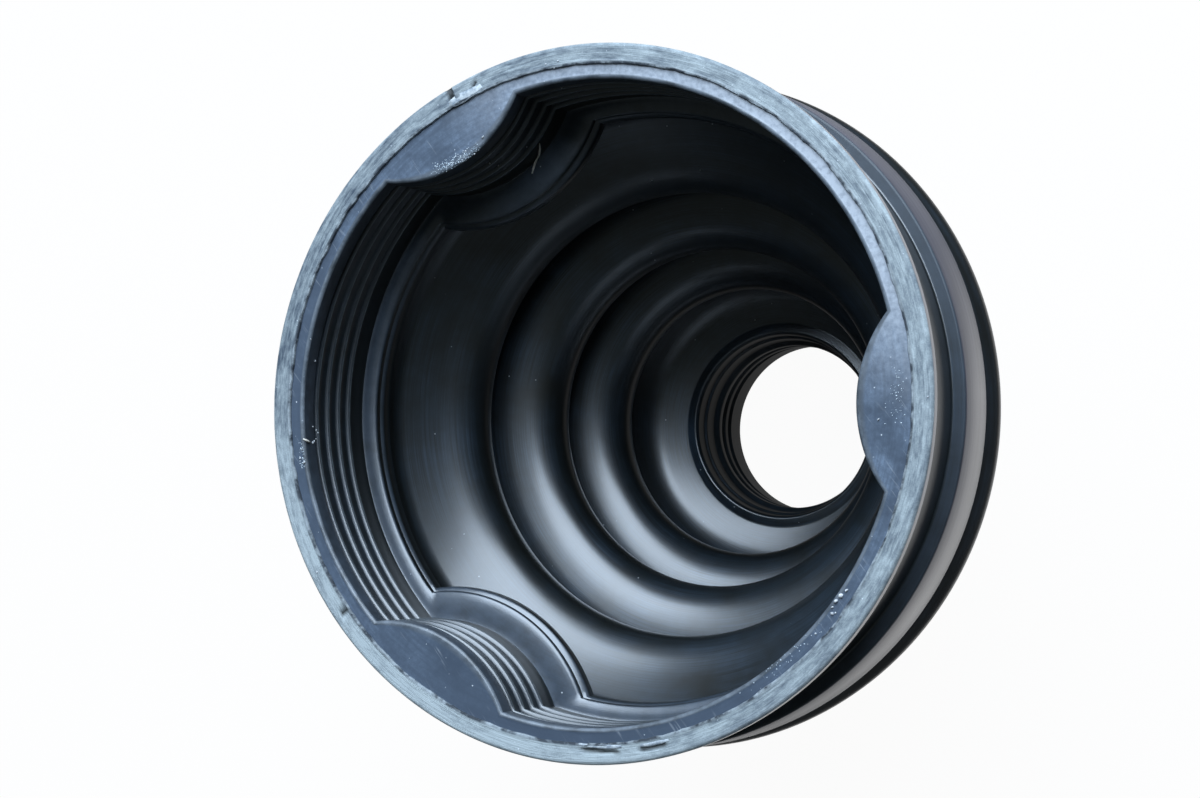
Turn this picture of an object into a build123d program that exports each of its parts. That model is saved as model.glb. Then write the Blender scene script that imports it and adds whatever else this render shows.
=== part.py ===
from build123d import *
import math
import os

os.makedirs("parts", exist_ok=True)

# Rubber bellows boot for the inner, tripod joint of a drive shaft, moulded in one piece.
# It stands on the end of its neck: z = 0 is the end face, and Z runs up the axis to the mouth.
# The joint's three-lobed housing enters the mouth, and the shaft leaves through the neck.

# Neck, from its end face up
neck_height = 17.5           # end face to the floor inside the last fold
neck_bore_radius = 12.6
neck_bore_chamfer = 0.8
neck_wall = 2.6              # under the small clamp band
neck_lip_rise = 1.2          # lips each side of that band
neck_clamp_start = 4.4
neck_clamp_width = 8.0
neck_clamp_slope = 0.5
neck_step = 0.8              # from the bore out to the short step below the floor
neck_floor_width = 3.5       # from the bore out to the last fold's wall

# Seal ribs in the neck bore
neck_rib_count = 3
neck_rib_pitch = 2.5
neck_rib_height = 0.6
neck_rib_start = 8.0         # height of the lowest rib's tip
neck_lead_in = 1.7           # slope above the top rib

# Folds: peaks point outward, roots point inward
fold_count = 4
fold_pitch = 12.3
fold_wall = 2.4
first_peak_radius = 43.2
peak_step = 5.6              # each peak is this much smaller than the one above it
upper_root_radius = 28.9
middle_root_radius = 22.8
lower_root_radius = 18.6
last_fold_height = 5.85      # floor to the last peak
tip_corners = 2              # a rounded tip is drawn with this many corners

# Three-lobed seat for the joint housing
lobe_count = 3
lobe_distance = 49.85
lobe_radius = 16.55
seat_radius = 38.05
land_depth = 2.85
rib_count = 4
rib_pitch = 2.56
rib_depth = 3.8              # mouth to the first rib's tip
groove_depth = 0.6
groove_start = 12.6
groove_end = 15.8
ledge_front = 17.0
ledge_step = 0.75            # share of the ledge reached at its front edge
ledge_width = 1.65           # how far the stop ledge stands inside the seat
lobe_ledge_width = 3.65      # the same on a lobe
overcut = 1.0

# Collar, from the first peak up to the mouth
shoulder_height = 8.2
ledge_overhang = 1.2         # ledge edge out to the wall behind it
collar_height = 19.05
collar_wall = 2.2            # under the large clamp band
lip_rise = 2.05
lip_height = 2.2
lip_slope = 0.7
clamp_seat_width = 11.7
clamp_seat_slope = 0.4
band_rise = 1.95             # band that overhangs the first fold
band_height = 4.1
rim_width = 2.6              # trimmed ring round the mouth
rim_step = 0.35

neck_clamp_radius = neck_bore_radius + neck_wall
neck_radius = neck_clamp_radius + neck_lip_rise
neck_step_radius = neck_bore_radius + neck_step
neck_floor_radius = neck_bore_radius + neck_floor_width
ledge_radius = seat_radius - ledge_width
ledge_lobe_radius = lobe_radius + lobe_ledge_width
shoulder_radius = ledge_radius + ledge_overhang
clamp_seat_radius = seat_radius + collar_wall
lip_radius = clamp_seat_radius + lip_rise
band_radius = clamp_seat_radius + band_rise

last_peak_z = neck_height + last_fold_height
first_peak_z = last_peak_z + (fold_count - 1) * fold_pitch
collar_back_z = first_peak_z + shoulder_height
mouth_z = collar_back_z + collar_height
recess_z = mouth_z - rim_step


def flank_angle(peak, root):
    """Direction, seen from a peak, that is square to the wall between it and a root."""
    toward_root = math.atan2(root[1] - peak[1], root[0] - peak[0])
    lean = math.acos(fold_wall / math.dist(peak, root))
    return toward_root + lean if root[1] < peak[1] else toward_root - lean


def tip(centre, first_angle, last_angle):
    """Corners of a rounded tip, laid round a circle of one wall thickness."""
    turn = (last_angle - first_angle) / tip_corners
    reach = fold_wall / math.cos(turn / 2)
    angles = [first_angle + turn * (n + 0.5) for n in range(tip_corners)]
    return [(centre[0] + reach * math.cos(a), centre[1] + reach * math.sin(a)) for a in angles]


# Centres of the tips. Each is also the sharp inner corner on the tip's other side.
root_radii = [upper_root_radius, middle_root_radius, lower_root_radius]
peaks = []
for n in range(fold_count):
    peak_radius = first_peak_radius - n * peak_step
    peaks.append((peak_radius - fold_wall, first_peak_z - n * fold_pitch))
roots = []
for n, radius in enumerate(root_radii):
    roots.append((radius + fold_wall, first_peak_z - (n + 0.5) * fold_pitch))
shoulder = (shoulder_radius, collar_back_z)
floor_corner = (neck_floor_radius, neck_height)

# Directions square to every wall, from the shoulder down to the neck
shoulder_run = math.atan2(shoulder[1] - peaks[0][1], shoulder[0] - peaks[0][0])
floor_run = math.atan2(floor_corner[1] - peaks[-1][1], floor_corner[0] - peaks[-1][0])
upper_angles = [shoulder_run - math.pi / 2]
lower_angles = []
for n, root in enumerate(roots):
    lower_angles.append(flank_angle(peaks[n], root))
    upper_angles.append(flank_angle(peaks[n + 1], root))
lower_angles.append(floor_run + math.pi / 2)

# Outside of the folds, and the inside, both from the top down
folds_outside = []
folds_inside = []
for n, peak in enumerate(peaks):
    folds_outside += tip(peak, upper_angles[n], lower_angles[n])
    folds_inside.append(peak)
    if n < len(roots):
        folds_outside.append(roots[n])
        folds_inside += tip(roots[n], lower_angles[n] + math.pi, upper_angles[n + 1] + math.pi)

# Outside of the collar: lip, seat of the large clamp, and the band over the first fold
seat_top_z = mouth_z - lip_height - lip_slope
seat_bottom_z = seat_top_z - clamp_seat_width
band_back_z = collar_back_z - band_height
shoulder_outside = shoulder_radius + fold_wall / math.cos(upper_angles[0])
shoulder_lean = (peaks[0][0] - shoulder[0]) / (shoulder[1] - peaks[0][1])
collar_outside = [
    (lip_radius, mouth_z),
    (lip_radius, mouth_z - lip_height),
    (clamp_seat_radius, seat_top_z),
    (clamp_seat_radius, seat_bottom_z),
    (band_radius, seat_bottom_z - clamp_seat_slope),
    (band_radius, band_back_z),
    (shoulder_outside + band_height * shoulder_lean, band_back_z),
]

# Outside of the neck: the last fold's wall, the seat of the small clamp, and the end lip
wall_foot_radius = floor_corner[0] + fold_wall * math.cos(lower_angles[-1])
wall_foot_z = floor_corner[1] + fold_wall * math.sin(lower_angles[-1])
neck_top_z = wall_foot_z - (wall_foot_radius - neck_radius) * math.tan(floor_run)
neck_seat_top_z = neck_clamp_start + neck_clamp_width
neck_outside = [
    (neck_radius, neck_top_z),
    (neck_radius, neck_seat_top_z + neck_clamp_slope),
    (neck_clamp_radius, neck_seat_top_z),
    (neck_clamp_radius, neck_clamp_start),
    (neck_radius, neck_clamp_start - neck_clamp_slope),
    (neck_radius, 0),
]

# Inside of the neck, from the end face up
neck_inside = [
    (neck_bore_radius + neck_bore_chamfer, 0),
    (neck_bore_radius, neck_bore_chamfer),
]
for n in range(neck_rib_count):
    tip_z = neck_rib_start + n * neck_rib_pitch
    neck_inside.append((neck_bore_radius, tip_z - neck_rib_pitch / 2))
    neck_inside.append((neck_bore_radius - neck_rib_height, tip_z))
neck_inside += [
    (neck_bore_radius, tip_z + neck_lead_in),
    (neck_step_radius, tip_z + neck_lead_in),
    (neck_step_radius, neck_height),
    floor_corner,
]

# Wall of the joint's seat: depth below the mouth, and how far it lies outside the land
seat_wall = [(-overcut, 0), (land_depth, 0), ((land_depth + rib_depth) / 2, groove_depth)]
for n in range(rib_count):
    rib_tip = rib_depth + n * rib_pitch
    seat_wall.append((rib_tip, 0))
    if n < rib_count - 1:
        seat_wall.append((rib_tip + rib_pitch / 2, groove_depth))
seat_wall += [(groove_start, groove_depth), (groove_end, groove_depth)]


def seat_outline(land_radius, groove_side, ledge):
    """Half section of the seat's void or of one lobe, with the stop ledge at its bottom."""
    groove_radius = land_radius + groove_side * groove_depth
    front_radius = groove_radius + ledge_step * (ledge - groove_radius)
    points = [(0, mouth_z + overcut)]
    for depth, offset in seat_wall:
        points.append((land_radius + groove_side * offset, mouth_z - depth))
    points.append((front_radius, mouth_z - ledge_front))
    points.append((ledge, collar_back_z))
    points.append((ledge, collar_back_z - overcut))
    points.append((0, collar_back_z - overcut))
    return points


with BuildPart() as lobe:
    with BuildSketch(Plane.XZ):
        with BuildLine():
            Polyline(*seat_outline(lobe_radius, -1, ledge_lobe_radius), close=True)
        make_face()
    revolve(axis=Axis.Z)

with BuildPart() as joint_space:
    with BuildSketch(Plane.XZ):
        with BuildLine():
            Polyline(*seat_outline(seat_radius, 1, ledge_radius), close=True)
        make_face()
    revolve(axis=Axis.Z)
    with PolarLocations(lobe_distance, lobe_count):
        add(lobe.part, mode=Mode.SUBTRACT)

# The collar starts as a ring thick enough to hold the lobes, and the joint's space is cut from it.
ring_radius = lobe_distance - ledge_lobe_radius - overcut
collar_inside = [
    shoulder,
    (ring_radius, collar_back_z),
    (ring_radius, recess_z),
    (lip_radius - rim_width, recess_z),
    (lip_radius - rim_width, mouth_z),
]
outside = collar_outside + folds_outside + neck_outside
inside = neck_inside + folds_inside[::-1] + collar_inside

with BuildPart() as boot:
    with BuildSketch(Plane.XZ):
        with BuildLine():
            Polyline(*outside, *inside, close=True)
        make_face()
    revolve(axis=Axis.Z)
    add(joint_space.part, mode=Mode.SUBTRACT)
boot.part.label = "boot"

export_step(boot.part, "parts/boot.step")
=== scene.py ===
import bpy
import math
import random
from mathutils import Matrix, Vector, noise
from mathutils.bvhtree import BVHTree


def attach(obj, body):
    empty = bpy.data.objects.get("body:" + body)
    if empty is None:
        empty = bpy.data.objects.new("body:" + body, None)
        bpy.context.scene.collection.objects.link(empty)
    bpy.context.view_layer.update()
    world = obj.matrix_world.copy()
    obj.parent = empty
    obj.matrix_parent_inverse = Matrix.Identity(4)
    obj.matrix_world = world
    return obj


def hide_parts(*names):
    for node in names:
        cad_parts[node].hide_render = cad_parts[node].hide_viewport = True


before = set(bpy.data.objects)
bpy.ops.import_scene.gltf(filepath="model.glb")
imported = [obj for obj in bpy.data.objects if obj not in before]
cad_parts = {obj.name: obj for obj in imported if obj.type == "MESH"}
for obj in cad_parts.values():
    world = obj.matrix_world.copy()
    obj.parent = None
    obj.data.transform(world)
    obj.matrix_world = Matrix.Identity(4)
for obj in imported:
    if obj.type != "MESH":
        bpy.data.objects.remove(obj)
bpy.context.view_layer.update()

MM = 0.001

# Lobed seat for the joint housing, all in mm; depths are measured down from the mouth
MOUTH_Z = 87.5
SEAT_RADIUS = 38.05
LOBE_RADIUS = 16.55
LOBE_DISTANCE = 49.85
LOBES = 3
LAND_DEPTH = 2.85
# Sealing ribs: depth of each tip, half width, how far the tips and the grooves lie outside the land, fall of the side
RIB_TIPS = (4.05, 6.7, 9.3, 11.85)
RIB_HALF = 0.32
RIB_SET_BACK = 0.08
RIB_HEIGHT = 0.6
RIB_FALL = 0.5
RIB_SHARES = (-1, -0.8, -0.5, -0.2, 0.2, 0.5, 0.8, 1)
GROOVE_MARGIN = 0.25
WALL_OFFSET = 0.58
LEDGE_TOP = 15.8
LEDGE_RADIUS = 36.4
LEDGE_LOBE_RADIUS = 20.2
LEDGE_BACK = 36.9
COLLAR_TOP = 68.45

# Trimmed ring round the mouth, and the rounded edge between the seat and the recessed face
RING_INNER = 39.75
RING_OUTER = 42.3
RING_STEP = 0.35
EDGE_ROUND = 0.4
EDGE_STEPS = 5
# Drag lines across the ring: radius and depth of each
RING_LINES = (
    (40.2, 0.02), (40.45, 0.06), (40.75, 0.01), (41.05, 0.06), (41.35, 0.01), (41.6, 0.05), (41.85, 0.02),
    (42.08, 0.08), (42.22, 0.22), (RING_OUTER, 0.42),
)
# Waver of the ring's inner edge: size, seed and waves of each part
CUT_WAVER = ((0.16, 3.1, 9), (0.1, 7.7, 34), (0.06, 1.3, 90))
# The ring's inner border: how far out from the edge, and the share of the step reached there
CUT_STEPS = ((0.03, 0.45), (0.1, 0.85), (0.22, 1.0))
FACE_SHARES = (0.12, 0.3, 0.5, 0.7, 0.88, 1.0)
# How uneven the face and the ring are
UNEVEN = 0.03

# Nicks and lifted slits in the ring: both ends, half width and depth; they are cut into the ring and painted dark as
# their shade
NICKS = (
    ((-18.6, 37.7), (-18.15, 36.5), 0.5, 0.75),
    ((-15.05, 38.5), (-15.45, 37.6), 0.3, 0.35),
    ((0.9, -40.5), (5.6, -40.5), 0.3, 0.4),
    ((8.6, -40.0), (11.4, -39.25), 0.3, 0.4),
    ((-31.0, -25.6), (-31.6, -26.0), 0.45, 0.5),
)

# Columns round the boot: each lobe and each arc between two lobes has its own
LOBE_COLUMNS = 32
ARC_COLUMNS = 48


def corner_angle(seat_radius, lobe_radius):
    """Half the angle that a lobe takes up, seen from the axis."""
    across = LOBE_DISTANCE ** 2 + seat_radius ** 2 - lobe_radius ** 2
    return math.acos(across / (2 * LOBE_DISTANCE * seat_radius))


MOUTH_CORNER = corner_angle(SEAT_RADIUS, LOBE_RADIUS)


def round_row(radius, z):
    """One plain ring of points, spaced as the seat's columns are."""
    points = []
    for lobe in range(LOBES):
        middle = 2 * math.pi * lobe / LOBES
        for n in range(LOBE_COLUMNS):
            angle = middle - MOUTH_CORNER + 2 * MOUTH_CORNER * n / LOBE_COLUMNS
            points.append((radius * math.cos(angle), radius * math.sin(angle), z))
        span = 2 * math.pi / LOBES - 2 * MOUTH_CORNER
        for n in range(ARC_COLUMNS):
            angle = middle + MOUTH_CORNER + span * n / ARC_COLUMNS
            points.append((radius * math.cos(angle), radius * math.sin(angle), z))
    return points


def lobed_row(seat_radius, lobe_radius, z, fine=1):
    """One ring of points that follows the lobes, with each column doubled where fine is 2."""
    corner = corner_angle(seat_radius, lobe_radius)
    edge = math.asin(seat_radius * math.sin(corner) / lobe_radius)
    points = []
    for lobe in range(LOBES):
        middle = 2 * math.pi * lobe / LOBES
        for n in range(LOBE_COLUMNS * fine):
            turn = -edge + 2 * edge * n / (LOBE_COLUMNS * fine)
            x = LOBE_DISTANCE - lobe_radius * math.cos(turn)
            y = lobe_radius * math.sin(turn)
            points.append((
                x * math.cos(middle) - y * math.sin(middle),
                x * math.sin(middle) + y * math.cos(middle),
                z,
            ))
        span = 2 * math.pi / LOBES - 2 * corner
        for n in range(ARC_COLUMNS * fine):
            angle = middle + corner + span * n / (ARC_COLUMNS * fine)
            points.append((seat_radius * math.cos(angle), seat_radius * math.sin(angle), z))
    return points


def rounded(corners):
    """Line through (radius, z, fillet, steps) corners, with an arc at each corner that has a fillet."""
    line = []
    for n, (r, z, fillet, steps) in enumerate(corners):
        if not fillet:
            line.append((r, z))
            continue
        here = Vector((r, z))
        back = (Vector(corners[n - 1][:2]) - here).normalized()
        on = (Vector(corners[n + 1][:2]) - here).normalized()
        half = back.angle(on) / 2
        reach = fillet / math.tan(half)
        centre = here + (back + on).normalized() * (fillet / math.sin(half))
        first = here + back * reach - centre
        sweep = first.angle_signed(here + on * reach - centre)
        for step in range(steps + 1):
            turn = -sweep * step / steps
            spoke = (
                first.x * math.cos(turn) - first.y * math.sin(turn),
                first.x * math.sin(turn) + first.y * math.cos(turn),
            )
            line.append((centre.x + spoke[0], centre.y + spoke[1]))
    return line


def folded(tips, facing, steps):
    """Line along a folded wall that faces the axis (-1) or away from it (1).

    Each tip is (radius, height, arc). An arc above 0 bulges toward the open side, and one below 0 is a hollow.
    """
    centres = [Vector((r - facing * arc, z)) for r, z, arc in tips]
    leans = []
    for n in range(len(tips) - 1):
        way = centres[n + 1] - centres[n]
        spread = math.acos((tips[n][2] - tips[n + 1][2]) / way.length)
        bearing = math.atan2(way.y, way.x)
        square = max((bearing + spread, bearing - spread), key=lambda turn: facing * math.cos(turn))
        leans.append(math.atan2(math.sin(square), facing * math.cos(square)))
    line = []
    for n, (r, z, arc) in enumerate(tips):
        first = leans[max(n - 1, 0)]
        last = leans[min(n, len(leans) - 1)]
        count = steps if 0 < n < len(tips) - 1 else 0
        for step in range(count + 1):
            lean = first + (last - first) * step / max(count, 1)
            spoke = Vector((facing * math.cos(lean), math.sin(lean))) * arc
            line.append(tuple(centres[n] + spoke))
    return line


# Steps of an arc outside and of a hollow inside, and of the eased link between a roll and the next hollow
FOLD_STEPS = 7
HOLLOW_STEPS = 5
LINK_STEPS = 4

# Folds outside, from the top down: (radius, height, arc) of each tip
FOLDS_OUTSIDE = [
    (40.1, 64.35, 0), (42.75, 59.4, 2.5), (31.7, 54.1, -0.9), (37.65, 48.15, 2.5), (25.6, 41.8, -0.9),
    (32.05, 35.85, 2.5), (21.4, 29.5, -0.9), (26.45, 23.35, 2.5), (16.4, 15.4, 0),
]

# Rolls inside, from the top down: innermost point of each, with the radius of the hollow above it and of its arc
ROLLS = [((28.85, 54.85), 38.0, 3.0), ((22.75, 42.85), 35.0, 0.9), ((18.55, 30.2), 29.4, 0.9)]
COLLAR_FOOT = 37.3
COLLAR_TILT = 112
UNDERSIDE_TILT = 150
# A roll's section: tilt of its surface from level, radius of the arc that leads to that tilt, steps
FIRST_ROLL = [(40, 0, 0), (34, -30, 3), (44, 12, 4), (117, 4.6, 9), (UNDERSIDE_TILT, 2.4, 3)]
LOWER_ROLL = [
    (3, 0, 0), (8, 28, 3), (15, 20, 3), (24, 10, 3), (38, 6.5, 3), (117, 4.4, 10), (UNDERSIDE_TILT, 2.6, 3),
]
# The last cone and the floor round the neck
LAST_HOLLOW = (23.9, 0.9)
LAST_CONE = [(46, 0, 0), (17, -6.0, 7), (12.5, -42, 4), (-12, -0.7, 4)]
CONE_FOOT = (14.75, 16.75)

# The rest of the wall's section: (radius, z, fillet, steps) of each corner
COLLAR = [
    (RING_OUTER, 86.9, 0, 0), (RING_OUTER, 85.3, 0.9, 4), (40.25, 84.5, 0.4, 3), (40.25, 72.5, 0.3, 3),
    (42.05, 72.65, 0.35, 4), (42.35, 64.35, 0.25, 3), (40.1, 64.35, 0, 0),
]
NECK = [
    (16.4, 15.4, 0, 0), (16.4, 12.9, 0.3, 2), (15.2, 12.4, 0.3, 2), (15.2, 4.4, 0.3, 2),
    (16.4, 3.9, 0.3, 2), (16.4, 0, 0.5, 3), (13.4, 0, 0.4, 3), (12.55, 0.9, 0.4, 3),
    (12.5, 4.7, 0.3, 3), (12.25, 5.5, 0.2, 2), (12.7, 5.9, 0.2, 2), (12.6, 7.2, 0.2, 2),
    (12.0, 7.8, 0.25, 3), (12.05, 8.6, 0.25, 3), (12.5, 9.1, 0.2, 2), (12.05, 10.1, 0.25, 3),
    (12.0, 11.2, 0.4, 3), (12.7, 11.9, 0.3, 3), (12.75, 14.4, 0.3, 3), (13.15, 14.65, 0.2, 2),
    (13.2, 16.6, 0.3, 3), (13.55, 17.2, 0.3, 3), (CONE_FOOT[0], CONE_FOOT[1], 0, 0),
]


def arc_end(start, tilt, to, radius):
    """Where a line gets to, going down, as its surface turns from one tilt to another in degrees."""
    before, after = math.radians(tilt), math.radians(to)
    return (
        start[0] - radius * (math.sin(after) - math.sin(before)),
        start[1] + radius * (math.cos(after) - math.cos(before)),
    )


def section_line(section, at, place):
    """Chain of arcs, set so that it passes the given place where its tilt is the one given."""
    line = [(0.0, 0.0)]
    tilt = section[0][0]
    for to, radius, steps in section[1:]:
        if min(tilt, to) <= at <= max(tilt, to):
            mark = arc_end(line[-1], tilt, at, radius)
        start = line[-1]
        for step in range(1, steps + 1):
            line.append(arc_end(start, tilt, tilt + (to - tilt) * step / steps, radius))
        tilt = to
    return [(place[0] + r - mark[0], place[1] + z - mark[1]) for r, z in line]


def eased(start, start_tilt, end, end_tilt, steps):
    """Points of a smooth link between two ends whose tilts are known."""
    length = math.hypot(end[0] - start[0], end[1] - start[1])
    leave = [-length * math.cos(math.radians(start_tilt)), -length * math.sin(math.radians(start_tilt))]
    meet = [-length * math.cos(math.radians(end_tilt)), -length * math.sin(math.radians(end_tilt))]
    points = []
    for step in range(1, steps):
        t = step / steps
        weights = (2 * t ** 3 - 3 * t ** 2 + 1, t ** 3 - 2 * t ** 2 + t, 3 * t ** 2 - 2 * t ** 3, t ** 3 - t ** 2)
        points.append(tuple(
            weights[0] * start[n] + weights[1] * leave[n] + weights[2] * end[n] + weights[3] * meet[n]
            for n in (0, 1)
        ))
    return points


def inner_folds():
    """The folded wall inside, from the collar's back edge down to the foot of the last cone."""
    line = [(COLLAR_FOOT, COLLAR_TOP)]
    tilt = COLLAR_TILT
    parts = []
    for n, (tip, hollow, arc) in enumerate(ROLLS):
        roll = LOWER_ROLL if n else FIRST_ROLL
        parts.append((hollow, arc, roll[0][0], section_line(roll, 90, tip)))
    parts.append((*LAST_HOLLOW, LAST_CONE[0][0], section_line(LAST_CONE, LAST_CONE[-1][0], CONE_FOOT)))
    for hollow, arc, flank, section in parts:
        lean = math.radians(flank)
        middle = hollow - arc
        run = (middle + arc * math.sin(lean) - section[0][0]) / math.cos(lean)
        height = section[0][1] + run * math.sin(lean) + arc * math.cos(lean)
        bottom = []
        for step in range(HOLLOW_STEPS + 1):
            turn = math.radians(tilt + (flank - tilt) * step / HOLLOW_STEPS)
            bottom.append((middle + arc * math.sin(turn), height - arc * math.cos(turn)))
        line += eased(line[-1], tilt, bottom[0], tilt, LINK_STEPS) + bottom + section
        tilt = UNDERSIDE_TILT
    return line


def wall_line():
    """Half section of the wall from the mouth's outer edge down, through the neck and up to the stop ledge."""
    line = rounded(COLLAR)[:-1] + folded(FOLDS_OUTSIDE, 1, FOLD_STEPS)[:-1]
    line += rounded(NECK)[:-1] + inner_folds()[::-1]
    line.append((LEDGE_BACK, COLLAR_TOP))
    return line


def seat_wall():
    """(depth, offset) of the seat's wall, where the offset is how far it lies outside the land."""
    groove = RIB_SET_BACK + RIB_HEIGHT
    line = [(EDGE_ROUND + RING_STEP, 0), (LAND_DEPTH - 0.15, 0), (LAND_DEPTH, 0.05)]
    line += [(LAND_DEPTH + 0.12, 0.3), (LAND_DEPTH + 0.32, 0.42)]
    for n, tip in enumerate(RIB_TIPS):
        for share in RIB_SHARES:
            sag = 1 - math.sqrt(max(0, 1 - share * share))
            line.append((tip + share * RIB_HALF, RIB_SET_BACK + sag * RIB_FALL))
        if n < len(RIB_TIPS) - 1:
            line.append((tip + RIB_HALF + GROOVE_MARGIN, groove))
            line.append((RIB_TIPS[n + 1] - RIB_HALF - GROOVE_MARGIN, groove))
    line += [(RIB_TIPS[-1] + RIB_HALF + 0.3, 0.64), (13.0, 0.62), (14.6, 0.6), (LEDGE_TOP - 0.35, WALL_OFFSET)]
    return line


# Stop ledge: depth, and the share of its width that is reached there
LEDGE = [
    (15.74, 0.03), (15.8, 0.1), (15.83, 0.22), (15.87, 0.37), (15.94, 0.52), (16.03, 0.66), (16.13, 0.77),
    (16.24, 0.84), (16.4, 0.875), (16.75, 0.885), (16.87, 0.84), (17.2, 0.84), (17.3, 0.89), (17.45, 0.94),
    (17.6, 0.985), (17.75, 1.0), (18.9, 1.0), (19.05, 0.985),
]


def seat_rows():
    """Lobed rows from the collar's back edge up to the mouth's edge."""
    rows = []
    groove = SEAT_RADIUS + WALL_OFFSET
    lobe_groove = LOBE_RADIUS - WALL_OFFSET
    for depth, share in reversed(LEDGE):
        seat = groove + share * (LEDGE_RADIUS - groove)
        lobe = lobe_groove + share * (LEDGE_LOBE_RADIUS - lobe_groove)
        rows.append((lobed_row(seat, lobe, MOUTH_Z - depth), "ledge"))
    for depth, offset in reversed(seat_wall()):
        zone = "seat"
        if depth < LAND_DEPTH + 0.1:
            zone = "land"
        elif depth > RIB_TIPS[-1] + 0.9:
            zone = "well"
        elif offset < RIB_SET_BACK + 0.02:
            zone = "tip"
        rows.append((lobed_row(SEAT_RADIUS + offset, LOBE_RADIUS - offset, MOUTH_Z - depth), zone))
    return rows


def edge_rows(fine):
    """The rounded edge between the seat's land and the recessed face."""
    rows = []
    for step in range(1, EDGE_STEPS + 1):
        turn = math.radians(90 / EDGE_STEPS * step)
        offset = EDGE_ROUND * (1 - math.cos(turn))
        depth = RING_STEP + EDGE_ROUND * (1 - math.sin(turn))
        rows.append(lobed_row(SEAT_RADIUS + offset, LOBE_RADIUS - offset, MOUTH_Z - depth, fine))
    return rows


def ragged(angle, seed, scale):
    """Seeded unevenness round the mouth, from -1 to 1."""
    spot = Vector((math.cos(angle) * scale, math.sin(angle) * scale, seed))
    return noise.noise(spot)


def nick_depth(x, y):
    """How deep the nicks cut into the ring at a place."""
    deepest = 0
    for (x1, y1), (x2, y2), half, depth in NICKS:
        along = ((x - x1) * (x2 - x1) + (y - y1) * (y2 - y1)) / ((x2 - x1) ** 2 + (y2 - y1) ** 2)
        along = max(0, min(1, along))
        away = math.hypot(x - x1 - along * (x2 - x1), y - y1 - along * (y2 - y1))
        deepest = max(deepest, depth * max(0, 1 - away / half))
    return deepest


def face_rows(edge_row):
    """The recessed face from the mouth's edge out to the trimmed ring, and the ring itself."""
    rows = []
    cut = []
    for x, y, z in edge_row:
        angle = math.atan2(y, x)
        cut.append(RING_INNER + sum(size * ragged(angle, seed, waves) for size, seed, waves in CUT_WAVER))
    for share in FACE_SHARES:
        row = []
        for (x, y, z), reach in zip(edge_row, cut):
            radius = math.hypot(x, y)
            there = radius + share * (reach - radius)
            lift = UNEVEN * noise.noise(Vector((x, y, share)) * 0.35)
            row.append((x / radius * there, y / radius * there, z + lift - UNEVEN))
        rows.append((row, "face"))
    for outward, height in CUT_STEPS:
        row = []
        for (x, y, z), reach in zip(edge_row, cut):
            angle = math.atan2(y, x)
            radius = reach + outward
            lift = RING_STEP * height * (1 + 0.25 * ragged(angle, 5.5, 60))
            top = min(MOUTH_Z, MOUTH_Z - RING_STEP + lift)
            row.append((radius * math.cos(angle), radius * math.sin(angle), top))
        rows.append((row, "cut"))
    for radius, drop in RING_LINES:
        row = []
        for x, y, z in edge_row:
            angle = math.atan2(y, x)
            lift = UNEVEN * ragged(angle, radius, 20) - UNEVEN
            place = (radius * math.cos(angle), radius * math.sin(angle))
            row.append((*place, MOUTH_Z - drop + lift - nick_depth(*place)))
        rows.append((row, "ring"))
    return rows


# Zones of the skin that have a finish of their own: trimmed ring, its cut border, recessed face, rounded edge, land,
# seat with its rib tips, plain wall below the ribs (well), ledge, and outside the band, its front, the lip, the folds
ZONES = ("fold", "ring", "cut", "face", "edge", "land", "seat", "tip", "well", "ledge", "band", "front", "lip")


# Where the outside zones lie
BAND_FRONT = (72.45, 72.7)
BAND_BACK = 64
BAND_RADIUS = 42.0
LIP_BACK = 84.4
CLAMP_RADIUS = 40.3
SHARP_ANGLE = 38


def outside_zone(radius, z):
    """Name of the zone that a place on the collar's outside lies in."""
    if radius > 40.5 and BAND_FRONT[0] < z < BAND_FRONT[1]:
        return "front"
    if radius > BAND_RADIUS and BAND_BACK < z < BAND_FRONT[0]:
        return "band"
    if z > LIP_BACK and radius > CLAMP_RADIUS:
        return "lip"
    return None


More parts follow.
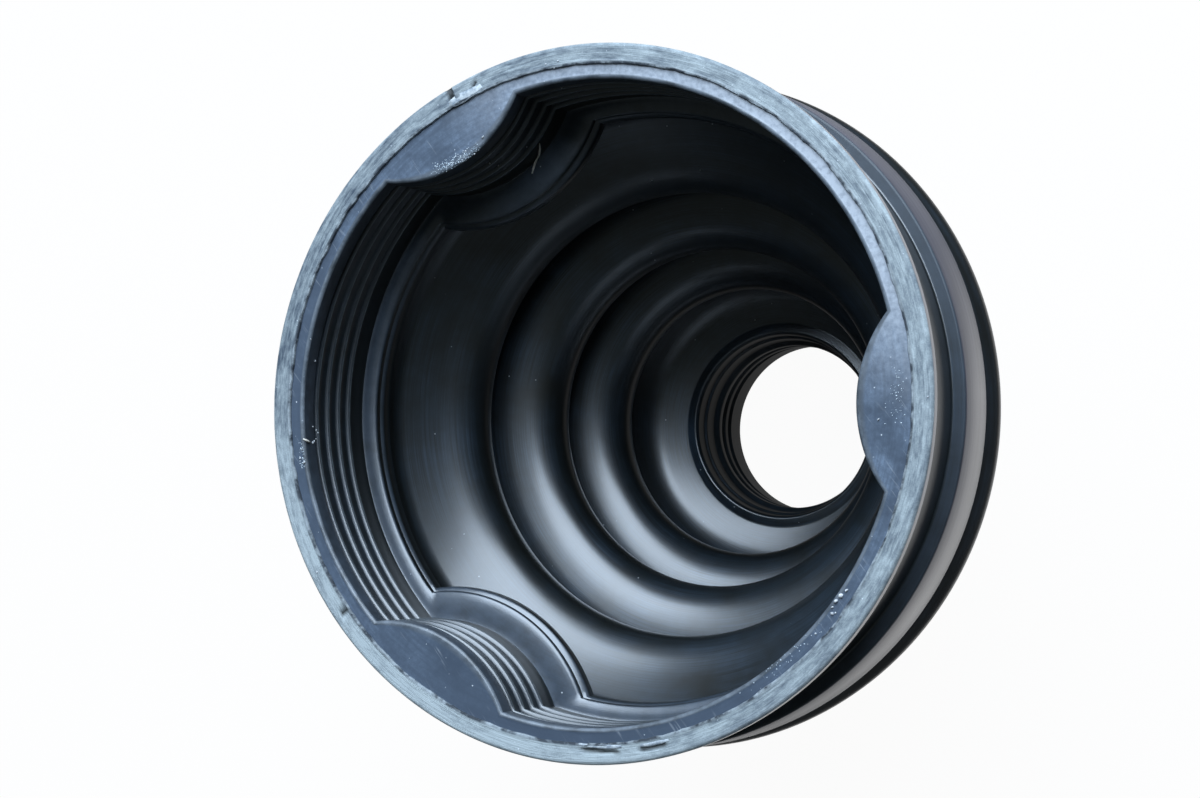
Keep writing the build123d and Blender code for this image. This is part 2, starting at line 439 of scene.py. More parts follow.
def build_skin():
    """The boot's whole wall as one closed mesh, outside, neck, folds, seat, face and ring."""
    rows = []
    first_fold = len(rounded(COLLAR)) - 1
    last_fold = first_fold + len(folded(FOLDS_OUTSIDE, 1, FOLD_STEPS)) - 1
    for n, (radius, z) in enumerate(wall_line()):
        zone = outside_zone(radius, z) or ("fold" if first_fold <= n < last_fold else "wall")
        rows.append((round_row(radius, z), zone))
    rows += seat_rows()
    rows.append((edge_rows(1)[0], "edge"))
    fine_rows = [(row, "edge") for row in edge_rows(2)[1:]]
    fine_rows += face_rows(fine_rows[-1][0])
    vertices = []
    starts = []
    zones = []
    for row, zone in rows + fine_rows:
        starts.append(len(vertices))
        vertices += [(x * MM, y * MM, z * MM) for x, y, z in row]
        zones += [zone] * len(row)
    faces = []
    columns = len(rows[0][0])
    for n in range(len(rows) - 1):
        for c in range(columns):
            d = (c + 1) % columns
            faces.append((starts[n] + c, starts[n + 1] + c, starts[n + 1] + d, starts[n] + d))
    seam = starts[len(rows) - 1]
    first_fine = starts[len(rows)]
    doubled = 2 * columns
    for coarse, fine in ((seam, first_fine), (starts[0], starts[-1])):
        for c in range(columns):
            d = (c + 1) % columns
            a, b, e = fine + 2 * c, fine + 2 * c + 1, fine + (2 * c + 2) % doubled
            loop = [(coarse + c, a, b), (coarse + c, b, coarse + d), (coarse + d, b, e)]
            if coarse == starts[0]:
                loop = [tuple(reversed(face)) for face in loop]
            faces += loop
    for n in range(len(rows), len(rows) + len(fine_rows) - 1):
        for c in range(doubled):
            d = (c + 1) % doubled
            faces.append((starts[n] + c, starts[n + 1] + c, starts[n + 1] + d, starts[n] + d))
    mesh = bpy.data.meshes.new("boot_skin")
    mesh.from_pydata(vertices, [], faces)
    mesh.validate()
    mesh.polygons.foreach_set("use_smooth", [True] * len(mesh.polygons))
    mesh.set_sharp_from_angle(angle=math.radians(SHARP_ANGLE))
    for name in ZONES:
        layer = mesh.attributes.new(name, "FLOAT", "POINT")
        layer.data.foreach_set("value", [float(zone == name) for zone in zones])
    # Where the painted shade of the nicks and slits goes
    nicked = mesh.attributes.new("nick", "FLOAT", "POINT")
    nicked.data.foreach_set("value", [
        min(1, 4 * nick_depth(x / MM, y / MM)) if zone in ("ring", "cut") else 0.0
        for (x, y, z), zone in zip(vertices, zones)
    ])
    skin = bpy.data.objects.new("boot_skin", mesh)
    bpy.context.scene.collection.objects.link(skin)
    return skin


# Node helpers

def add_node(tree, kind, values=None, **settings):
    """Place a node, set it up, and wire or fill its inputs."""
    node = tree.nodes.new("ShaderNode" + kind)
    for name, value in settings.items():
        setattr(node, name, value)
    for name, value in (values or {}).items():
        if isinstance(value, bpy.types.NodeSocket):
            tree.links.new(value, node.inputs[name])
        else:
            node.inputs[name].default_value = value
    return node


def sums(tree, operation, first, second=0.0, third=0.0):
    """One sum on up to three values."""
    return add_node(tree, "Math", {0: first, 1: second, 2: third}, operation=operation).outputs[0]


def times(tree, *values):
    """Product of the values."""
    result = values[0]
    for value in values[1:]:
        result = sums(tree, "MULTIPLY", result, value)
    return result


def between(tree, value, low, high, to_low=0.0, to_high=1.0, smooth=False):
    """Stretch a value from one range to another, held at both ends."""
    kind = "SMOOTHSTEP" if smooth else "LINEAR"
    node = add_node(tree, "MapRange", {0: value, 1: low, 2: high, 3: to_low, 4: to_high}, interpolation_type=kind)
    return node.outputs[0]


def tint(tree, share, first, second):
    """Mix two colours."""
    mix = add_node(tree, "Mix", {0: share}, data_type="RGBA")
    for socket, value in ((mix.inputs[6], first), (mix.inputs[7], second)):
        if isinstance(value, bpy.types.NodeSocket):
            tree.links.new(value, socket)
        else:
            socket.default_value = (*value, 1)
    return mix.outputs[2]


def start_group(name, inputs, outputs):
    """An empty node group with named values in and out."""
    group = bpy.data.node_groups.new(name, "ShaderNodeTree")
    for label, default in inputs.items():
        socket = group.interface.new_socket(name=label, in_out="INPUT", socket_type="NodeSocketFloat")
        socket.default_value = default
    for label in outputs:
        group.interface.new_socket(name=label, in_out="OUTPUT", socket_type="NodeSocketFloat")
    entry = group.nodes.new("NodeGroupInput")
    leave = group.nodes.new("NodeGroupOutput")
    return group, entry.outputs, leave.inputs


def around_middle(group, grain, contrast):
    """Stretch a grain that lies around a half to the full range."""
    return between(group, grain, sums(group, "SUBTRACT", 0.5, contrast), sums(group, "ADD", 0.5, contrast))


def millimetres(tree):
    """The surface's own coordinates, in mm."""
    place = add_node(tree, "TexCoord").outputs["Object"]
    return add_node(tree, "VectorMath", {0: place, "Scale": 1000}, operation="SCALE").outputs[0]


def streak_group():
    """Fine lines that run round the boot, as a knife or a lathed mould leaves them."""
    group, given, out = start_group(
        "circular_streaks", {"Breaks": 3, "Fineness": 4, "Shift": 0, "Contrast": 0.15}, ["Streaks"],
    )
    place = add_node(group, "SeparateXYZ", {0: millimetres(group)}).outputs
    squares = [times(group, place[n], place[n]) for n in (0, 1)]
    radius = sums(group, "SQRT", sums(group, "ADD", *squares))
    along = [times(group, sums(group, "DIVIDE", place[n], radius), given["Breaks"]) for n in (0, 1)]
    out_and_up = sums(group, "MULTIPLY_ADD", place[2], 0.9, radius)
    across = sums(group, "MULTIPLY_ADD", out_and_up, given["Fineness"], given["Shift"])
    spot = add_node(group, "CombineXYZ", {0: along[0], 1: along[1], 2: across}).outputs[0]
    grain = add_node(group, "TexNoise", {"Vector": spot, "Scale": 1, "Detail": 3, "Roughness": 0.6}).outputs[0]
    group.links.new(around_middle(group, grain, given["Contrast"]), out["Streaks"])
    return group


def cloud_group():
    """Soft patches, for dust, bloom and handling marks."""
    group, given, out = start_group(
        "soft_patches", {"Per mm": 0.3, "Detail": 4, "Shift": 0, "Contrast": 0.15}, ["Patches"],
    )
    spot = add_node(group, "VectorMath", {0: millimetres(group), 1: given["Shift"]}, operation="ADD").outputs[0]
    grain = add_node(group, "TexNoise", {
        "Vector": spot, "Scale": given["Per mm"], "Detail": given["Detail"], "Roughness": 0.62,
    })
    group.links.new(around_middle(group, grain.outputs[0], given["Contrast"]), out["Patches"])
    return group


def speck_group():
    """Loose specks of lint and crumb: a few cells of a random pattern carry one each."""
    group, given, out = start_group("specks", {"Per mm": 1, "Size": 0.2, "Share": 0.1}, ["Specks"])
    cells = add_node(group, "TexVoronoi", {"Vector": millimetres(group), "Scale": given["Per mm"]})
    near = sums(group, "LESS_THAN", cells.outputs["Distance"], given["Size"])
    pick = add_node(group, "SeparateColor", {0: cells.outputs["Color"]}).outputs
    chosen = sums(group, "LESS_THAN", pick[0], given["Share"])
    group.links.new(times(group, near, chosen, pick[1]), out["Specks"])
    return group


def scratch_group():
    """Hair-thin straight rubs in one direction."""
    group, given, out = start_group("rubs", {"Turn": 0.5, "Per mm": 2, "Amount": 0.5}, ["Rubs"])
    turned = add_node(
        group, "VectorRotate", {"Vector": millimetres(group), "Angle": given["Turn"]}, rotation_type="Z_AXIS",
    )
    long_grain = (0.09, 1, 1)
    thin = add_node(group, "VectorMath", {0: turned.outputs[0], 1: long_grain}, operation="MULTIPLY")
    grain = add_node(group, "TexNoise", {
        "Vector": thin.outputs[0], "Scale": given["Per mm"], "Detail": 2, "Roughness": 0.7,
    })
    patch = add_node(group, "TexNoise", {"Vector": millimetres(group), "Scale": 0.22, "Detail": 1})
    lines = between(group, grain.outputs[0], 0.6, 0.7)
    where = between(group, patch.outputs[0], 0.45, 0.6)
    group.links.new(times(group, lines, where, given["Amount"]), out["Rubs"])
    return group


GROUPS = {
    "streaks": streak_group(), "patches": cloud_group(), "specks": speck_group(), "rubs": scratch_group(),
}


def effect(tree, name, **values):
    """Place one of the shared effects with its own values."""
    node = tree.nodes.new("ShaderNodeGroup")
    node.node_tree = GROUPS[name]
    for label, value in values.items():
        node.inputs[label.replace("_", " ")].default_value = value
    return node.outputs[0]


# Finishes, as linear colours
BLACK_RUBBER = (0.0045, 0.0058, 0.0050)
WALL_DUST = (0.032, 0.055, 0.085)
SEAT_DUST = (0.014, 0.022, 0.032)
# Painted highlight along the rib tips
TIP_PAINTED_HIGHLIGHT = (0.15, 0.18, 0.20)
LEDGE_SLATE = (0.055, 0.075, 0.105)
LAND_SLATE = (0.046, 0.064, 0.09)
FACE_DARK = (0.046, 0.068, 0.104)
FACE_PALE = (0.18, 0.24, 0.33)
RING_DARK = (0.05, 0.075, 0.11)
RING_PALE = (0.47, 0.53, 0.55)
EDGE_WEAR_AND_HIGHLIGHT = (0.21, 0.245, 0.29)
CHALK = (0.72, 0.76, 0.80)
CUT_DARK = (0.04, 0.052, 0.07)
CUT_PALE = (0.50, 0.56, 0.60)
POWDER = (0.52, 0.56, 0.62)
BAND_BROWN_AND_SHEEN = (0.11, 0.098, 0.122)
LIP_LILAC_AND_SHEEN = (0.20, 0.19, 0.23)
FRONT_SLATE = (0.04, 0.055, 0.075)
# How far the nicks and slits are painted toward black as their shade
NICK_PAINTED_SHADE = 0.9
WALL_DUSTINESS = 1.3

# How much each kind of wear adds to the ring's scuffing
DRAG_WEAR = 0.4
BLOTCH_WEAR = 0.4
SPECKLE_WEAR = 0.36
POWDER_WEAR = 0.1
SIDE_WEAR = 0.14
LOWER_LEFT_WEAR = 0.42
UPPER_LEFT_WEAR = -0.16

# Gloss: roughness of clean rubber, what brushing and grit add, and what a dull zone adds
SATIN_ROUGHNESS = 0.33
BRUSHED_ROUGHNESS = 0.06
GRIT_ROUGHNESS = 0.03
DULL_ROUGHNESS = 0.36
ROUGHEST = 0.9
DULLEST_COAT = 0.05
# How dull each zone is, where 1 has almost no coat
EDGE_DULL = 0.6
LAND_DULL = 0.7
FRONT_DULL = 0.8
WELL_DULL = 0.95
FOLD_DULL = 0.7


def skin_rubber():
    """Black rubber: satin folds, dusty seat and face, and a scuffed ring where the mouth was trimmed."""
    material = bpy.data.materials.new("moulded_rubber")
    material.use_nodes = True
    tree = material.node_tree
    shader = tree.nodes["Principled BSDF"]
    zone = {
        name: add_node(tree, "Attribute", attribute_name=name).outputs["Fac"]
        for name in ZONES
    }
    facing = add_node(tree, "SeparateXYZ", {0: add_node(tree, "NewGeometry").outputs["Normal"]}).outputs[2]
    level = between(tree, facing, 0.2, 0.95)

    # Walls and folds: a thin uneven film of dust on what faces up, brushed round
    brushed = effect(tree, "streaks", Breaks=2.2, Fineness=5.5, Contrast=0.22)
    film = effect(tree, "patches", Per_mm=0.12, Detail=5, Shift=11, Contrast=0.2)
    colour = tint(tree, times(tree, level, film, brushed, WALL_DUSTINESS), BLACK_RUBBER, WALL_DUST)

    # Seat, land and ledge
    seat_film = effect(tree, "patches", Per_mm=0.5, Detail=4, Shift=3, Contrast=0.2)
    colour = tint(tree, times(tree, zone["seat"], between(tree, seat_film, 0, 1, 0.2, 0.8)), colour, SEAT_DUST)
    ledge_dust = times(tree, zone["ledge"], level, between(tree, seat_film, 0, 1, 0.35, 1))
    colour = tint(tree, ledge_dust, colour, LEDGE_SLATE)
    # Painted shade: the recessed wall below the ribs is kept bare black, darker than the dusty seat above
    colour = tint(tree, zone["well"], colour, BLACK_RUBBER)
    # Rib tips painted pale as the highlight that light leaves along them
    colour = tint(tree, times(tree, zone["tip"], between(tree, seat_film, 0, 1, 0.35, 1)), colour, TIP_PAINTED_HIGHLIGHT)
    colour = tint(tree, times(tree, zone["land"], between(tree, seat_film, 0, 1, 0.4, 1)), colour, LAND_SLATE)

    # Face and lobe tops: slate, cloudy, with rubs, and powdery toward the window
    place = add_node(tree, "SeparateXYZ", {0: millimetres(tree)}).outputs
    side = sums(tree, "MULTIPLY_ADD", place[1], 0.85, times(tree, place[0], 0.5))
    powdery = between(tree, side, 16, 36, smooth=True)
    cloud = effect(tree, "patches", Per_mm=0.22, Detail=6, Shift=5, Contrast=0.16)
    mottle = effect(tree, "patches", Per_mm=1.6, Detail=5, Shift=9, Contrast=0.17)
    grit = effect(tree, "patches", Per_mm=5.5, Detail=3, Shift=14, Contrast=0.2)
    arcs = effect(tree, "streaks", Breaks=4, Fineness=2.6, Shift=7, Contrast=0.16)
    haze = times(tree, cloud, between(tree, arcs, 0, 1, 0.4, 1), between(tree, mottle, 0, 1, 0.5, 1))
    haze = times(tree, haze, between(tree, grit, 0, 1, 0.7, 1.1), between(tree, place[1], -38, -18, 0.1, 1.1))
    haze = times(tree, haze, between(tree, place[0], -38, -28, 0.25, 1.1))
    rubs = effect(tree, "rubs", Turn=0.9, Per_mm=2.2, Amount=0.16)
    face = tint(tree, haze, FACE_DARK, FACE_PALE)
    thick = times(tree, between(tree, mottle, 0, 1, 0.45, 0.9), between(tree, place[0], 8, 28, 1, 1.4))
    face = tint(tree, sums(tree, "MINIMUM", times(tree, powdery, thick), 1), face, POWDER)
    face = tint(tree, rubs, face, CHALK)
    colour = tint(tree, zone["face"], colour, face)
    worn = effect(tree, "patches", Per_mm=0.35, Detail=5, Shift=21, Contrast=0.12)
    # Rounded edge: worn pale patches that also paint the highlight along the edge
    colour = tint(tree, times(tree, zone["edge"], between(tree, worn, 0, 1, 0.25, 0.8)), colour, EDGE_WEAR_AND_HIGHLIGHT)

    # Trimmed ring: pale drag lines, dark blotches, nicks and slits painted near black as the shade inside them, and a
    # ragged border that is chalky here and dark there
    drag = effect(tree, "streaks", Breaks=5, Fineness=4.2, Shift=2, Contrast=0.13)
    fine_drag = effect(tree, "streaks", Breaks=14, Fineness=9, Shift=4, Contrast=0.16)
    blotch = effect(tree, "streaks", Breaks=10, Fineness=0.85, Shift=1, Contrast=0.12)
    speckle = effect(tree, "streaks", Breaks=30, Fineness=2.4, Shift=8, Contrast=0.14)
    lower_left = between(tree, sums(tree, "MULTIPLY_ADD", place[0], 0.6, place[1]), -22, -42)
    upper_left = between(tree, sums(tree, "MULTIPLY_ADD", place[0], -0.5, place[1]), 18, 45)
    scuffed = times(tree, blotch, BLOTCH_WEAR)
    for wear, share in (
        (times(tree, drag, fine_drag), DRAG_WEAR), (speckle, SPECKLE_WEAR), (powdery, POWDER_WEAR),
        (between(tree, place[0], -40, -24), SIDE_WEAR), (lower_left, LOWER_LEFT_WEAR), (upper_left, UPPER_LEFT_WEAR),
    ):
        scuffed = sums(tree, "MULTIPLY_ADD", wear, share, scuffed)
    scuffed = times(tree, scuffed, between(tree, grit, 0, 1, 0.75, 1.15))
    ring = tint(tree, scuffed, RING_DARK, RING_PALE)
    colour = tint(tree, zone["ring"], colour, ring)
    border = tint(tree, between(tree, worn, 0.25, 0.75), CUT_DARK, CUT_PALE)
    colour = tint(tree, times(tree, zone["cut"], between(tree, mottle, 0, 1, 0.4, 0.8)), colour, border)

    # Painted shade: the nicks and the slits under the torn flash are darkened to near black
    nick = add_node(tree, "Attribute", attribute_name="nick").outputs["Fac"]
    colour = tint(tree, times(tree, nick, NICK_PAINTED_SHADE), colour, BLACK_RUBBER)

    # Band and lip outside: dull lilac-brown, lightened with a painted sheen that stands for the floor's reflection,
    # with slate dust on the step between them
    band = effect(tree, "streaks", Breaks=2, Fineness=1.4, Shift=6, Contrast=0.2)
    colour = tint(tree, times(tree, zone["band"], between(tree, band, 0, 1, 0.6, 1)), colour, BAND_BROWN_AND_SHEEN)
    colour = tint(tree, times(tree, zone["lip"], between(tree, band, 0, 1, 0.6, 1)), colour, LIP_LILAC_AND_SHEEN)
    colour = tint(tree, times(tree, zone["front"], between(tree, cloud, 0, 1, 0.3, 0.9)), colour, FRONT_SLATE)

    # Specks on what faces up
    dots = times(tree, effect(tree, "specks", Per_mm=1.1, Size=0.1, Share=0.05), level)
    mouth = sums(tree, "ADD", zone["ring"], zone["face"])
    chalk = times(tree, effect(tree, "specks", Per_mm=2.2, Size=0.16, Share=0.045), mouth)
    colour = tint(tree, sums(tree, "MAXIMUM", dots, chalk), colour, CHALK)
    tree.links.new(colour, shader.inputs["Base Color"])

    # Gloss: satin in the folds, dull where dusty or cut
    def dullest(*values):
        result = values[0]
        for value in values[1:]:
            result = sums(tree, "MAXIMUM", result, value)
        return result

    calm = dullest(between(tree, place[1], 2, 20, 0, 0.85), between(tree, place[1], -24, -38, 0, 0.5))
    dull = dullest(
        zone["ring"], zone["face"], zone["cut"], times(tree, zone["edge"], EDGE_DULL),
        times(tree, zone["land"], LAND_DULL), times(tree, zone["front"], FRONT_DULL), times(tree, zone["band"], calm),
    )
    satin = sums(tree, "MULTIPLY_ADD", grit, GRIT_ROUGHNESS, SATIN_ROUGHNESS)
    satin = sums(tree, "MULTIPLY_ADD", brushed, BRUSHED_ROUGHNESS, satin)
    rough = sums(tree, "MULTIPLY_ADD", dull, DULL_ROUGHNESS, satin)
    tree.links.new(sums(tree, "MINIMUM", rough, ROUGHEST), shader.inputs["Roughness"])
    coatless = dullest(dull, times(tree, zone["well"], WELL_DULL), times(tree, zone["fold"], FOLD_DULL))
    tree.links.new(between(tree, coatless, 0, 1, 1.0, DULLEST_COAT), shader.inputs["Coat Weight"])
    shader.inputs["Coat Roughness"].default_value = 0.26
    shader.inputs["Coat IOR"].default_value = 1.72
    shader.inputs["IOR"].default_value = 1.62

    # Relief: grain everywhere, drag lines on the ring, brushing in the folds
    grain = effect(tree, "patches", Per_mm=5, Detail=3, Shift=2, Contrast=0.25)
    lines = times(tree, sums(tree, "ADD", drag, fine_drag), zone["ring"], 0.6)
    height = sums(tree, "ADD", times(tree, brushed, 0.04), sums(tree, "MULTIPLY_ADD", grain, 0.12, lines))
    bump = add_node(tree, "Bump", {"Strength": 0.5, "Distance": 0.00006, "Height": height})
    tree.links.new(bump.outputs[0], shader.inputs["Normal"])
    return material


# Loose matter and torn flash; all lie on the skin

# Corners and rings of a crumb; half width of a fleck from and to; radius and corners of a fibre; thickness of flash
LUMP_SIDES = 7
LUMP_RINGS = 3
CRUMB_FLATNESS = 0.7
FLECK_HALF = (0.03, 0.11)
FLECK_FLATNESS = 0.35
FIBRE_RADIUS = 0.15
FIBRE_SIDES = 6
FLASH_THICKNESS = 0.05
FLASH_SHARES = (0, 0.35, 0.7, 1)

# Crumbs: (x, y, z) near the place, and the crumb's half width
CRUMBS = (
    (32.6, -21.0, 87.1, 0.26), (32.0, -21.6, 87.1, 0.3), (31.4, -22.2, 87.1, 0.34), (31.0, -22.9, 87.1, 0.18),
    (31.0, -23.6, 87.1, 0.24), (31.4, -23.5, 87.1, 0.14), (29.1, -25.9, 87.1, 0.14), (-37.7, 5.1, 85.2, 0.12),
    (-38.2, -3.5, 83.7, 0.14), (-37.7, -4.9, 84.9, 0.16), (-37.7, -5.1, 85.3, 0.2), (-38.2, -4.6, 83.7, 0.16),
    (-37.3, 7.7, 87.0, 0.12), (-38.0, -3.8, 83.6, 0.12), (-37.9, -3.1, 85.0, 0.1), (-38.1, -6.0, 87.1, 0.16),
    (-37.7, -7.6, 87.1, 0.22), (-38.3, -7.1, 87.1, 0.14), (-13.9, 31.8, 87.1, 0.2), (-16.2, 30.2, 87.1, 0.14),
    (-15.1, 29.8, 86.9, 0.14), (-5.2, 37.9, 83.6, 0.14), (-13.4, 32.3, 76.2, 0.12), (-16.0, 29.6, 81.1, 0.12),
    (-16.1, 29.7, 78.5, 0.12), (-4.5, 39.6, 87.4, 0.12), (-5.6, 40.1, 87.4, 0.14), (-4.0, 40.4, 87.4, 0.12),
    (-35.3, -21.1, 87.4, 0.16), (41.7, 0.5, 87.4, 0.16), (-3.9, 30.2, 58.4, 0.12), (3.1, 31.1, 59.1, 0.1),
    (-9.0, 21.4, 44.7, 0.1), (36.0, -2.0, 87.1, 0.2),
)
# Powder that clings to an edge: both ends of the run, how far it spreads, and how many flecks
POWDER_RUNS = (
    ((-20.6, 27.9, 87.1), (-14.6, 30.3, 87.1), 0.5, 110), ((-18.9, 28.5, 87.1), (-16.4, 29.6, 87.1), 0.4, 80),
    ((38.2, 3.4, 87.1), (37.9, -2.6, 87.1), 0.45, 60), ((-38.0, -8.2, 87.1), (-38.15, -5.2, 87.1), 0.22, 50),
    ((20.8, -33.0, 87.1), (30.0, -25.0, 87.1), 0.3, 40),
)
# Fibres: the places they pass, from end to end
FIBRES = (
    (
        (-12.6, 33.0, 74.3), (-13.0, 32.6, 73.4), (-13.6, 31.9, 72.4), (-14.2, 31.1, 71.8), (-14.5, 30.4, 71.7),
        (-14.7, 29.6, 71.7),
    ),
    ((-37.95, -4.7, 87.15), (-37.75, -4.95, 86.7), (-37.7, -5.1, 86.1)),
)
# Torn flash on the ring's inner border: outer and inner edge of each sliver
SLIVERS = (
    (
        ((-18.55, 36.35), (-18.0, 36.85), (-17.0, 37.25), (-15.9, 37.6), (-15.1, 37.95), (-14.3, 38.2)),
        ((-18.3, 35.55), (-17.6, 35.65), (-16.8, 35.95), (-15.7, 36.5), (-14.8, 37.05), (-13.9, 37.75)),
    ),
    (
        ((0.4, -39.95), (1.9, -40.2), (3.4, -40.25), (4.9, -40.2), (6.0, -39.9)),
        ((0.6, -39.75), (1.9, -39.8), (3.4, -39.75), (4.9, -39.7), (5.9, -39.65)),
    ),
    (
        ((8.3, -39.75), (9.6, -39.6), (10.8, -39.25), (11.9, -38.8)),
        ((8.4, -39.4), (9.5, -39.15), (10.6, -38.85), (11.7, -38.6)),
    ),
)


def skin_finder(skin):
    """Finds the point of the skin nearest to a place, and its normal; all in metres."""
    mesh = skin.data
    return BVHTree.FromPolygons([v.co for v in mesh.vertices], [tuple(p.vertices) for p in mesh.polygons])


def new_piece(name, vertices, faces, material):
    """A piece of loose matter that rides with the boot."""
    mesh = bpy.data.meshes.new(name)
    mesh.from_pydata([tuple(v) for v in vertices], [], faces)
    mesh.validate()
    mesh.polygons.foreach_set("use_smooth", [True] * len(mesh.polygons))
    mesh.materials.append(material)
    piece = bpy.data.objects.new(name, mesh)
    bpy.context.scene.collection.objects.link(piece)
    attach(piece, "root")
    return piece


def add_lump(vertices, faces, spot, normal, half, flat, chance):
    """One uneven crumb, its foot a little below the surface."""
    sides, rings = LUMP_SIDES, LUMP_RINGS
    across = normal.orthogonal().normalized()
    along = normal.cross(across)
    start = len(vertices)
    turn = chance.uniform(0, math.pi)
    stretch = chance.uniform(0.6, 1.0)
    for ring in range(rings):
        rise = math.radians(-35 + 45 * ring)
        for side in range(sides):
            angle = turn + 2 * math.pi * side / sides
            reach = half * math.cos(rise) * chance.uniform(0.72, 1.15)
            vertices.append(
                spot + across * (reach * math.cos(angle)) + along * (reach * stretch * math.sin(angle))
                + normal * (half * flat * (math.sin(rise) + 0.25))
            )
    vertices.append(spot + normal * (half * flat * 1.2))
    vertices.append(spot - normal * (half * flat * 0.5))
    for vertex in vertices[start:]:
        vertex.z = min(vertex.z, MOUTH_Z * MM)
    top, foot = start + rings * sides, start + rings * sides + 1
    for side in range(sides):
        on = (side + 1) % sides
        for ring in range(rings - 1):
            a, b = start + ring * sides, start + (ring + 1) * sides
            faces.append((a + side, a + on, b + on, b + side))
        last = start + (rings - 1) * sides
        faces.append((last + side, last + on, top))
        faces.append((start + on, start + side, foot))


def build_crumbs(finder, material):
    """Dried crumbs that cling to the mouth and the seat."""
    chance = random.Random(4)
    vertices, faces = [], []
    for x, y, z, half in CRUMBS:
        spot, normal, _, _ = finder.find_nearest(Vector((x, y, z)) * MM)
        add_lump(vertices, faces, spot, normal, half * MM, CRUMB_FLATNESS, chance)
    return new_piece("dried_crumbs", vertices, faces, material)


def build_powder(finder, material):
    """Powder in flecks along the edges where it gathers."""
    chance = random.Random(9)
    vertices, faces = [], []
    for first, last, spread, count in POWDER_RUNS:
        for _ in range(count):
            middle = Vector(first).lerp(Vector(last), chance.random())
            place = middle + Vector((chance.gauss(0, spread), chance.gauss(0, spread), 0))
            spot, normal, _, _ = finder.find_nearest(place * MM)
            half = chance.uniform(*FLECK_HALF) * MM
            add_lump(vertices, faces, spot, normal, half, FLECK_FLATNESS, chance)
    return new_piece("powder_flecks", vertices, faces, material)


def build_fibres(finder, material):
    """Lint that lies on the seat and on the mouth's edge."""
    vertices, faces = [], []
    sides = FIBRE_SIDES
    thick = FIBRE_RADIUS * MM
    for places in FIBRES:
        spine = []
        for place in places:
            spot, normal, _, _ = finder.find_nearest(Vector(place) * MM)
            spine.append(spot + normal * thick * 0.9)
        start = len(vertices)
        for n, spot in enumerate(spine):
            way = (spine[min(n + 1, len(spine) - 1)] - spine[max(n - 1, 0)]).normalized()
            across = way.orthogonal().normalized()
            along = way.cross(across)
            slim = thick * (0.6 if n in (0, len(spine) - 1) else 1)
            for side in range(sides):
                angle = 2 * math.pi * side / sides
                vertices.append(spot + across * (slim * math.cos(angle)) + along * (slim * math.sin(angle)))
        for n in range(len(spine) - 1):
            for side in range(sides):
                a, b, on = start + n * sides, start + (n + 1) * sides, (side + 1) % sides
                faces.append((a + side, a + on, b + on, b + side))
        end = start + (len(spine) - 1) * sides
        faces.append(tuple(start + side for side in reversed(range(sides))))
        faces.append(tuple(end + side for side in range(sides)))
    return new_piece("lint_fibres", vertices, faces, material)


def build_slivers(finder, material):
    """Thin torn flash that lies over the ring's inner border."""
    vertices, faces = [], []
    thick = FLASH_THICKNESS * MM
    above = 0.09
    strips = len(FLASH_SHARES) - 1
    row = 2 * len(FLASH_SHARES)
    for outer, inner in SLIVERS:
        start = len(vertices)
        rows = len(outer)
        for n in range(rows):
            for share in FLASH_SHARES:
                x, y = (Vector(outer[n]).lerp(Vector(inner[n]), share)) * MM
                spot, _, _, _ = finder.ray_cast(Vector((x, y, above)), Vector((0, 0, -1)))
                curl = 0.16 * MM * share * (1 - share) + 0.1 * MM * abs(math.sin(2.1 * n))
                height = min((MOUTH_Z - 0.02) * MM, spot.z + thick + curl + 0.12 * MM * share)
                vertices.append((x, y, height))
                vertices.append((x, y, height - thick))
        for n in range(rows - 1):
            for c in range(strips):
                a = start + n * row + c * 2
                b = a + row
                faces.append((a, a + 2, b + 2, b))
                faces.append((a + 1, b + 1, b + 3, a + 3))
            for c in (0, strips):
                a = start + n * row + c * 2
                b = a + row
                faces.append((a, b, b + 1, a + 1) if c == 0 else (a + 1, b + 1, b, a))
        for n in (0, rows - 1):
            for c in range(strips):
                a = start + n * row + c * 2
                faces.append((a, a + 1, a + 3, a + 2) if n == 0 else (a + 2, a + 3, a + 1, a))
    return new_piece("torn_flash", vertices, faces, material)


def matter(name, dark, pale, per_mm, roughness):
    """Dull uneven matter whose colour shifts between two tones."""
    material = bpy.data.materials.new(name)
    material.use_nodes = True
    tree = material.node_tree
    shader = tree.nodes["Principled BSDF"]
    cloud = effect(tree, "patches", Per_mm=per_mm, Detail=4, Shift=6, Contrast=0.16)
    tree.links.new(tint(tree, cloud, dark, pale), shader.inputs["Base Color"])
    tree.links.new(between(tree, cloud, 0, 1, roughness, roughness + 0.15), shader.inputs["Roughness"])
    bump = add_node(tree, "Bump", {"Strength": 0.4, "Distance": 0.00004, "Height": cloud})
    tree.links.new(bump.outputs[0], shader.inputs["Normal"])
    return material


skin = build_skin()
skin.data.materials.append(skin_rubber())
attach(skin, "root")
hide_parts("boot")

finder = skin_finder(skin)
build_crumbs(finder, matter("dried_crumb", (0.42, 0.44, 0.46), (0.85, 0.86, 0.88), 3, 0.7))
build_powder(finder, matter("clinging_powder", (0.38, 0.46, 0.54), (0.72, 0.78, 0.82), 1.5, 0.8))
build_fibres(finder, matter("pale_lint", (0.8, 0.72, 0.62), (0.92, 0.88, 0.8), 2, 0.6))
build_slivers(finder, matter("thin_flash", (0.2, 0.25, 0.31), (0.66, 0.7, 0.72), 1.2, 0.5))


FLOOR_HALF = 3
# Share of the floor's white that is its own, so that the shadow stays faint
FLOOR_GLOW = 0.96
# How white the floor looks in the gloss: painted shadow beneath the neck, a painted pool of light close round the
# boot, and far off
GLOSS_SHADOW_BENEATH = 0.08
GLOSS_POOL_NEAR = 0.72
GLOSS_FAR = 0.05


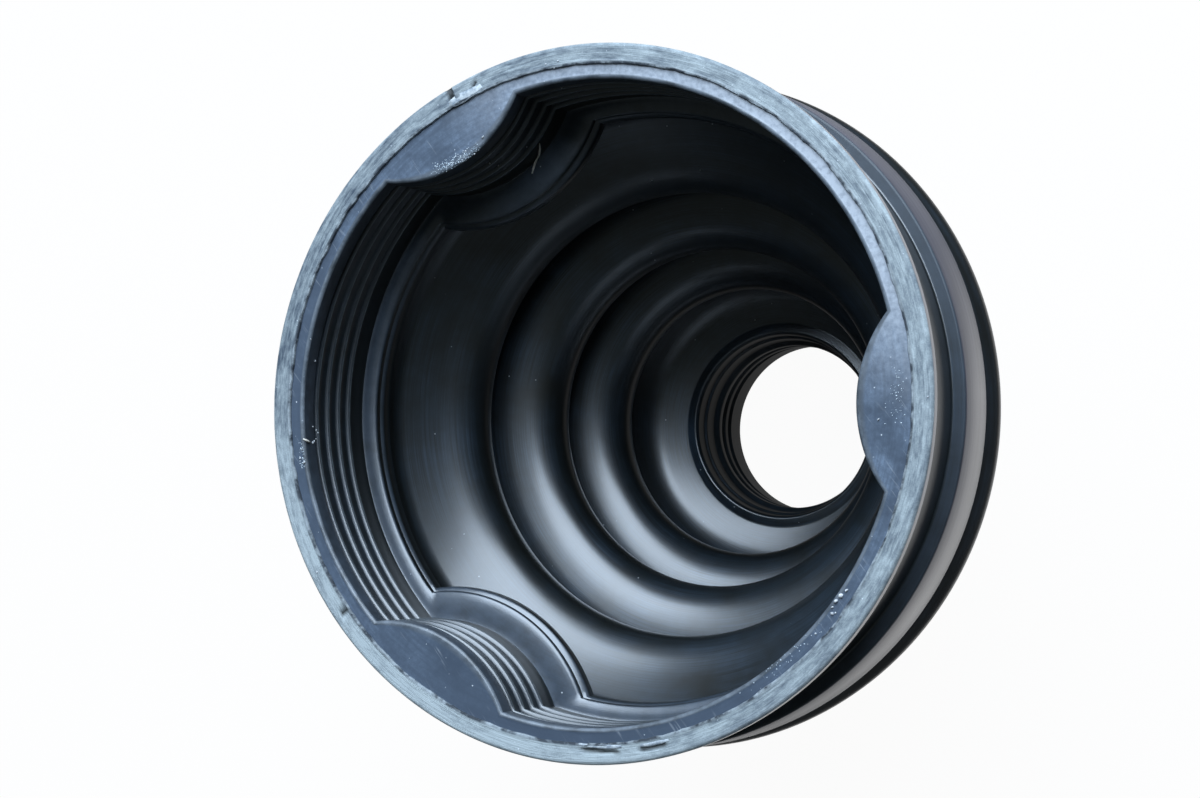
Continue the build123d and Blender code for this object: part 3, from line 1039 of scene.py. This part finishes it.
def build_floor():
    """Pale floor that looks white, also in the rubber's gloss, and still takes the boot's shadow; in the gloss it
    glows as a painted pool of light round the boot, with painted shadow beneath the neck.
    """
    mesh = bpy.data.meshes.new("floor")
    corners = ((-1, -1), (1, -1), (1, 1), (-1, 1))
    mesh.from_pydata([(x * FLOOR_HALF, y * FLOOR_HALF, 0) for x, y in corners], [], [(0, 1, 2, 3)])
    floor = bpy.data.objects.new("floor", mesh)
    bpy.context.scene.collection.objects.link(floor)
    material = bpy.data.materials.new("pale_floor")
    material.use_nodes = True
    tree = material.node_tree
    shader = tree.nodes["Principled BSDF"]
    shader.inputs["Base Color"].default_value = (0.8, 0.8, 0.8, 1)
    shader.inputs["Roughness"].default_value = 0.9
    path = add_node(tree, "LightPath").outputs
    mirrored = sums(tree, "MAXIMUM", path["Is Glossy Ray"], path["Is Transmission Ray"])
    seen = sums(tree, "MAXIMUM", path["Is Camera Ray"], mirrored)
    reach = add_node(tree, "VectorMath", {0: millimetres(tree)}, operation="LENGTH").outputs["Value"]
    # Painted pool of light round the boot and painted shadow beneath the neck, seen only in reflections
    nearby = between(tree, reach, 18, 45, GLOSS_SHADOW_BENEATH, GLOSS_POOL_NEAR)
    pool = sums(tree, "MINIMUM", nearby, between(tree, reach, 68, 95, GLOSS_POOL_NEAR, GLOSS_FAR))
    strength = sums(tree, "MULTIPLY_ADD", mirrored, pool, path["Is Camera Ray"])
    glow = add_node(tree, "Emission", {"Strength": strength})
    mix = add_node(tree, "MixShader", {0: times(tree, seen, FLOOR_GLOW), 1: shader.outputs[0], 2: glow.outputs[0]})
    tree.links.new(mix.outputs[0], tree.nodes["Material Output"].inputs["Surface"])
    mesh.materials.append(material)


def soft_light(name, place, target, size, watts, colour):
    """A broad light at a place, turned to a target; in metres."""
    data = bpy.data.lights.new(name, "AREA")
    data.shape = "RECTANGLE"
    data.size, data.size_y = size
    data.energy = watts
    data.color = colour
    light = bpy.data.objects.new(name, data)
    light.location = place
    light.rotation_euler = (Vector(place) - Vector(target)).to_track_quat("Z", "Y").to_euler()
    bpy.context.scene.collection.objects.link(light)


build_floor()
soft_light("window_light", (0.075, 0.725, 0.745), (0, 0, 0.06), (1.0, 1.2), 25, (0.70, 0.84, 1.0))

world = bpy.data.worlds.new("studio")
bpy.context.scene.world = world
world.use_nodes = True
world.node_tree.nodes["Background"].inputs["Color"].default_value = (0.80, 0.95, 0.96, 1)
world.node_tree.nodes["Background"].inputs["Strength"].default_value = 0.054

camera_data = bpy.data.cameras.new("camera")
camera_data.lens = 67.5
camera_data.sensor_width = 36
camera = bpy.data.objects.new("camera", camera_data)
camera.location = (0.10942, -0.01175, 0.32663)
camera.rotation_euler = (math.radians(3.1425), math.radians(24.054), math.radians(1.282))
bpy.context.scene.collection.objects.link(camera)
bpy.context.scene.camera = camera
bpy.context.scene.view_settings.view_transform = "Standard"
